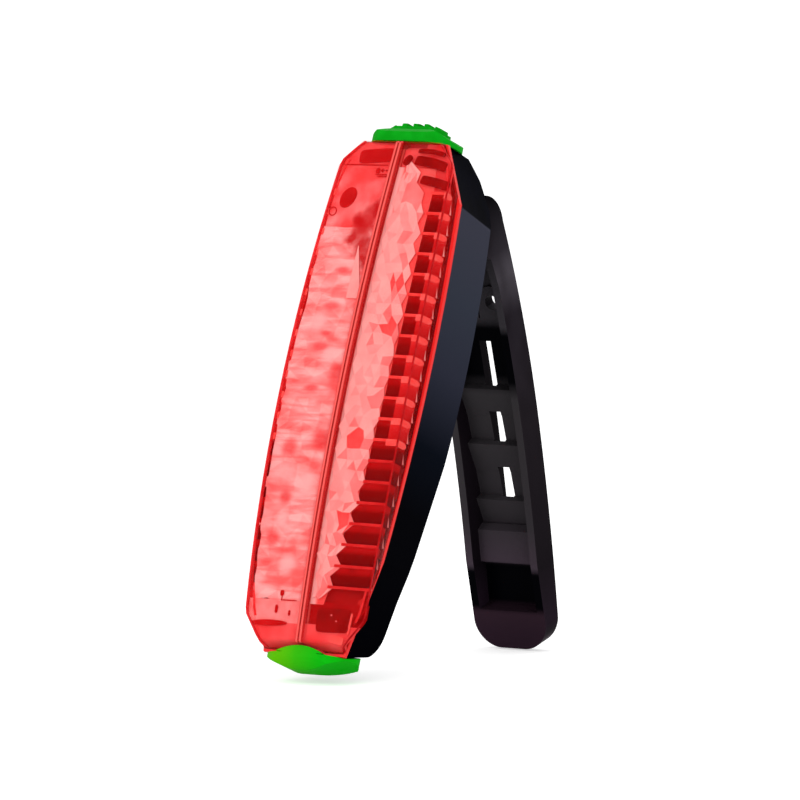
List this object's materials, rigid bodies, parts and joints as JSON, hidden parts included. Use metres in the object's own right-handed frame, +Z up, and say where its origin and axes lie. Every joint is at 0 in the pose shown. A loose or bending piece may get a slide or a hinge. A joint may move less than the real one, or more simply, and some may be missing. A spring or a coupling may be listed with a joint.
{
  "type": "clip-on bicycle light",
  "caption": "Rechargeable clip-on bicycle light with a ridged red lens, a soft push button, a charging port cover and a hinged, toothed strap clip that stands open.",
  "frame": {"origin": "bottom centre of the bounding box, on the ground under the opened light", "axes": "+Z up as the light stands on its port cover and the tip of its open clip; +X across the width, to the right seen from the lens; +Y from the lens towards the clip"},
  "size_m": [0.023, 0.0584, 0.0778],
  "materials": {
    "lens": "tinted clear plastic",
    "lens_gasket": "matte",
    "rear_housing": "satin black",
    "circuit_board": "pale solder mask",
    "board_screws": "plated",
    "led_chips": "yellowish white",
    "light_guide": "frosted white",
    "board_chips": "moulded black",
    "battery_cell": "foil grey",
    "battery_tape": "foam",
    "positive_lead": "insulated wire",
    "negative_lead": "insulated wire",
    "charging_socket": "plated",
    "socket_tongue": "moulded black",
    "switch_base": "moulded black",
    "switch_plunger": "moulded",
    "button_boot": "soft moulded",
    "push_button": "soft moulded",
    "port_cover": "soft moulded",
    "cover_tether": "soft moulded",
    "strap_clip": "satin black",
    "hinge_pin": "plated",
    "hinge_washers": "friction washer"
  },
  "bodies": {
    "body": {"lens": "lens", "lens_gasket": "lens_gasket", "rear_housing": "rear_housing", "circuit_board": "circuit_board", "board_screws": "board_screws", "led_chips": "led_chips", "light_guide": "light_guide", "board_chips": "board_chips", "battery_cell": "battery_cell", "battery_tape": "battery_tape", "positive_lead": "positive_lead", "negative_lead": "negative_lead", "charging_socket": "charging_socket", "socket_tongue": "socket_tongue", "switch_base": "switch_base", "button_boot": "button_boot", "cover_tether": "cover_tether", "hinge_washers": "hinge_washers"},
    "clip": {"strap_clip": "strap_clip", "hinge_pin": "hinge_pin"},
    "button": {"push_button": "push_button"},
    "plunger": {"switch_plunger": "switch_plunger"},
    "cover": {"port_cover": "port_cover"}
  },
  "joints": [
    {"name": "clip_hinge", "type": "hinge", "parent": "body", "child": "clip", "pos_m": [0, 0.01112, 0.06056], "axis": [-1, 0, 0], "range_deg": [0, 38]},
    {"name": "button_press", "type": "slide", "parent": "body", "child": "button", "axis": [0, -0.3453, -0.9385], "range_m": [0, 0.0007], "stiffness_N_per_m": 2000, "springref_m": -0.0002},
    {"name": "plunger_press", "type": "slide", "parent": "body", "child": "plunger", "axis": [0, -0.3453, -0.9385], "range_m": [0, 0.0007]},
    {"name": "cover_hinge", "type": "hinge", "parent": "body", "child": "cover", "pos_m": [0, -0.02106, 0.00324], "axis": [1, 0, 0], "range_deg": [0, 100]}
  ],
  "couplings": [
    {"joint": "plunger_press", "follows": "button_press", "ratio": 1}
  ]
}
